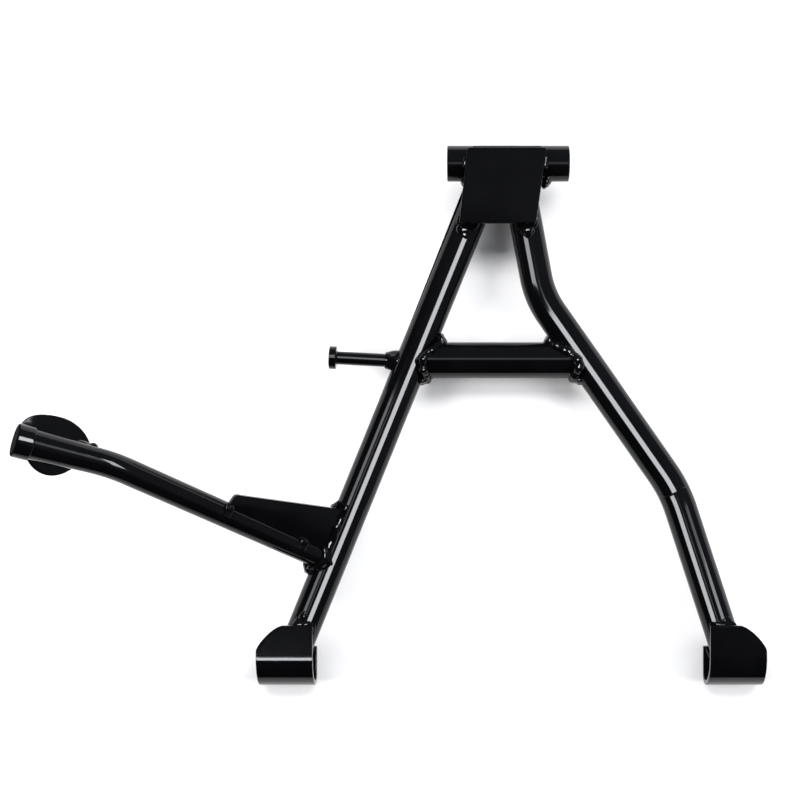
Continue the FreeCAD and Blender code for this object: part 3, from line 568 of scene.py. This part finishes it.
for name, (place, halves, turn) in webLook.items():
    web = bmesh.new()
    bmesh.ops.create_icosphere(web, subdivisions=4, radius=1)
    bmesh.ops.scale(web, vec=Vector(halves) * mm, verts=web.verts)
    bmesh.ops.transform(web, verts=web.verts, matrix=Matrix.Translation(Vector(place) * mm)
                        @ Matrix.Rotation(math.radians(turn), 4, "Z"))
    for vert in web.verts:
        vert.co += vert.normal * noise.noise(vert.co / webLumps["size"]) * webLumps["depth"]
    welds.append(finishPiece(name, web, [], weldCoat))

# New beads for the crossbar's ends and the pedal: overlapping lumps along a path
# legX, legDrop and slope give the line of the leg that a bead lies on, reach the bead's distance from it
beadLook = {"swing": 0.9, "swingSize": 0.0026, "jog": 1.0, "jogSize": 0.0022, "lowest": -10.8, "steps": 44,
            "settling": 2, "seed": 1796043784,
            "left": {"reach": 14.6, "radius": 2.9, "legX": -10.8, "legDrop": 0, "slope": -0.4067,
                     "angle": 22.13, "side": 1},
            "right": {"reach": 13.5, "radius": 3.4, "legX": 22.32, "legDrop": 93.1,
                      "slope": math.tan(math.radians(34.9)), "angle": 34.9, "side": -1},
            "pedal": {"radius": 3.1, "back": 46, "out": 6.6, "below": 3, "run": 9, "pitch": 2}}
noise.seed_set(beadLook["seed"])  # the vector noise would differ from run to run


def beadPiece(name, places, radius, node):
    bead = bmesh.new()
    for place in places:
        size = (radius + beadLook["swing"] * noise.noise(place / beadLook["swingSize"])) * mm
        jog = noise.noise_vector(place / beadLook["jogSize"]) * beadLook["jog"] * mm
        # Keeps the bead above the rest plane
        place = Vector((place.x, place.y, max(place.z, beadLook["lowest"] * mm)))
        bmesh.ops.create_icosphere(bead, subdivisions=3, radius=size, matrix=Matrix.Translation(place + jog))
    piece = finishPiece(name, bead, [node], weldCoat)
    modifier(piece, "REMESH", mode="VOXEL", voxel_size=weldLook["cell"], use_smooth_shade=True)
    modifier(piece, "SMOOTH", factor=0.5, iterations=beadLook["settling"])
    welds.append(piece)


def barBead(look, angle):
    y = -tubeLook["barDrop"] + tubeLook["barRadius"] * math.cos(angle)
    z = tubeLook["barRadius"] * math.sin(angle)
    away = math.sqrt(look["reach"] ** 2 - z * z)
    x = look["legX"] + (-y - look["legDrop"]) * look["slope"]
    return Vector((x + look["side"] * away / math.cos(math.radians(look["angle"])), y, z)) * mm


for side in ("left", "right"):
    look, steps = beadLook[side], beadLook["steps"]
    places = [barBead(look, math.tau * i / steps) for i in range(steps)]
    beadPiece("bead_bar_" + side, places, look["radius"], "crossbar_" + side + "_weld")
look = beadLook["pedal"]
pedalEnd = leverTip - tipOut * look["back"] * mm + tipLevel * look["out"] * mm - tipAbove * look["below"] * mm
places = [pedalEnd + tipOut * i * mm for i in range(0, look["run"], look["pitch"])]
beadPiece("bead_pedal", places, look["radius"], "pedal_weld")
print("welds made")


# Camera, straight above

cameraLook = {"place": (-0.0302, -0.1724, 0.9), "lens": 57.87, "sensor": 36, "shiftX": -0.081,
              "shiftY": 0.0125}
cameraData = bpy.data.cameras.new("camera")
cameraData.lens = cameraLook["lens"]
cameraData.sensor_width = cameraLook["sensor"]
cameraData.shift_x = cameraLook["shiftX"]
cameraData.shift_y = cameraLook["shiftY"]
camera = bpy.data.objects.new("camera", cameraData)
camera.location = cameraLook["place"]
bpy.context.scene.collection.objects.link(camera)
bpy.context.scene.camera = camera


# Floor

floorLook = {"size": 40, "height": -0.0152, "colour": (0.9, 0.9, 0.905, 1), "roughness": 0.9, "lift": 0.04}
floorMesh = bmesh.new()
bmesh.ops.create_grid(floorMesh, x_segments=1, y_segments=1, size=floorLook["size"])
floorData = bpy.data.meshes.new("floor")
floorMesh.to_mesh(floorData)
floorMesh.free()
floor = bpy.data.objects.new("floor", floorData)
floor.location = (0, 0, floorLook["height"])
bpy.context.scene.collection.objects.link(floor)
floor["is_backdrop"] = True
floorMaterial, tree, shader, where = newMaterial("floor")
shader.inputs["Base Color"].default_value = floorLook["colour"]
shader.inputs["Roughness"].default_value = floorLook["roughness"]
shader.inputs["Specular IOR Level"].default_value = 0.0
rays = [where.node("ShaderNodeLightPath", {}, {}, "Is " + kind + " Ray")
        for kind in ("Camera", "Glossy", "Transmission")]
seen = rays[0].math("MAXIMUM", rays[1]).math("MAXIMUM", rays[2])
glow = seen.node("ShaderNodeCombineColor", {}, {"Red": seen, "Green": seen, "Blue": seen})
feed(tree, shader.inputs["Emission Color"], glow)
shader.inputs["Emission Strength"].default_value = floorLook["lift"]
floorData.materials.append(floorMaterial)


# Soft lamps light the floor and the form; strip boxes above are what the gloss paint mirrors

def hang(name, data, place):
    lamp = bpy.data.objects.new(name, data)
    lamp.location = place
    lamp.visible_camera = False
    bpy.context.scene.collection.objects.link(lamp)
    return lamp


def linkTo(lamp, role, pieces):
    # As receivers, the pieces alone are lit by the lamp; as blockers, they alone cast its shadows
    group = bpy.data.collections.new(lamp.name + role)
    for piece in pieces:
        group.objects.link(piece)
    setattr(lamp.light_linking, role + "_collection", group)


def areaData(name, width, length, radiance, colour=(1, 1, 1)):
    data = bpy.data.lights.new(name, "AREA")
    data.shape = "RECTANGLE"
    data.size, data.size_y = width, length
    data.energy = radiance * width * length * math.pi
    data.color = colour
    return data


everything = list({piece.name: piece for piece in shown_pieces() + list(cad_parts.values())}.values())
leftSide = [leftPiece, leverPiece, gussetPiece, pinPiece]
slim = leftSide + rightPieces + [pivotPiece]
# Place, size, radiance, and the pieces whose shadow the lamp leaves out
softLook = {"softBack": ((0.0, 1.9, 2.6), (5.0, 1.3), 6.4, slim),
            "softLeft": ((-3.0, -0.3, 1.7), (1.6, 1.6), 12.5, rightPieces),
            "softRight": ((3.0, -0.3, 1.7), (1.6, 1.6), 12.5, leftSide)}
for name, (place, (width, length), radiance, spared) in softLook.items():
    lamp = hang(name, areaData(name, width, length, radiance), place)
    lamp.rotation_euler = Vector(place).to_track_quat("Z", "Y").to_euler()
    lamp.visible_glossy = False
    linkTo(lamp, "blocker", [piece for piece in everything if piece not in spared])

# Strip boxes hang level, each with its long side along a tube turned by so many degrees, and light the pieces
# named: turn, edges across and along that direction, radiance, pieces
upper, lower = rightPieces
leftTurn = leftLook["angle"]
plateWelds = [weld for weld in welds if "plate" in weld.name]
stripLook = {"leftMain": (leftTurn, (0.15, 1.03), (-0.45, 1.2), 31, [leftPiece]),
             "leftOuter": (leftTurn, (-1.5, -0.75), (0.2, 1.3), 8, [leftPiece]),
             "leftThin": (leftTurn, (-0.45, -0.3), (0.2, 1.2), 4, [leftPiece]),
             "rightUpper": (upperAngle, (-1.2, -0.3), (-0.32, 0.02), 18, [upper]),
             "rightMiddle": (middleAngle, (-0.6, 0.241), (0.06, 0.8), 31, [upper]),
             "rightLower": (lowerAngle, (-1.43, -0.42), (0.2, 1.2), 28, [lower]),
             "rightOuter": (lowerAngle, (0.72, 1.5), (0.46, 0.62), 5, [lower]),
             "rightOuterEnd": (lowerAngle, (0.7, 1.55), (0.62, 1.2), 14, [lower]),
             "rightThin": (lowerAngle, (-0.1, 0.02), (0.46, 1.2), 5, [lower]),
             "barLine": (0, (-0.5, 0.6), (-0.2, 0.1), 1.9, [barPiece]),
             "pivotLine": (0, (-0.5, 0.6), (0.0, 0.4), 1.4, [pivotPiece]),
             "pinLine": (0, (-0.7, 0.3), (-0.6, 0.2), 8, [pinPiece]),
             "leverLine": (0, (-0.2, 1.2), (-0.6, 0.0), 3.2, [leverPiece]),
             "leverOval": (0, (1.25, 1.8), (-0.65, 0.35), 24, [leverPiece]),
             "capSpot": (0, (-0.1, 1.2), (-0.75, 0.0), 33, [capPiece]),
             "pedalRim": (0, (-1.0, 0.6), (-1.4, -0.4), 12, [pedalPiece]),
             "footLine": (0, (-0.9, 1.0), (0.68, 0.88), 33, feet[:1]),
             "weldGlint": (0, (-0.35, 0.3), (-0.3, 0.3), 45, welds),
             "weldGlintRight": (30, (0.5, 0.8), (0.0, 0.35), 28, welds),
             "plateGlint": (0, (-0.55, 0.5), (-0.75, 0.1), 30, plateWelds)}
boxLook = {"height": 1.5, "colour": (0.93, 0.95, 1.0)}
for name, (turn, across, along, radiance, pieces) in stripLook.items():
    a = math.radians(turn)
    side, length = Vector((math.cos(a), math.sin(a), 0)), Vector((math.sin(a), -math.cos(a), 0))
    place = side * sum(across) / 2 + length * sum(along) / 2 + Vector((0, 0, boxLook["height"]))
    data = areaData(name, across[1] - across[0], along[1] - along[0], radiance, boxLook["colour"])
    lamp = hang(name, data, place)
    lamp.rotation_euler = (0, 0, a)
    lamp.visible_diffuse = False
    linkTo(lamp, "receiver", pieces)


# The room: dark in front and to the left, dim towards the back and the right

roomLook = {"dark": (0.005, 0.005, 0.006, 1), "dim": (0.2, 0.21, 0.25, 1), "towards": (0.5, 0.85),
            "edge": (-0.1, 0.08)}
world = bpy.data.worlds.new("world")
bpy.context.scene.world = world
world.use_nodes = True
tree = world.node_tree
where = Value(tree, tree.nodes.new("ShaderNodeTexCoord").outputs["Generated"])
x, y = [where.node("ShaderNodeSeparateXYZ", {}, {"Vector": where}, axis) for axis in ("X", "Y")]
towards = roomLook["towards"][0] * x + roomLook["towards"][1] * y
feed(tree, tree.nodes["Background"].inputs["Color"],
     towards.clamped(*roomLook["edge"]).mixed(roomLook["dark"], roomLook["dim"]))
bpy.context.scene.view_settings.view_transform = "Standard"
print("lights made")
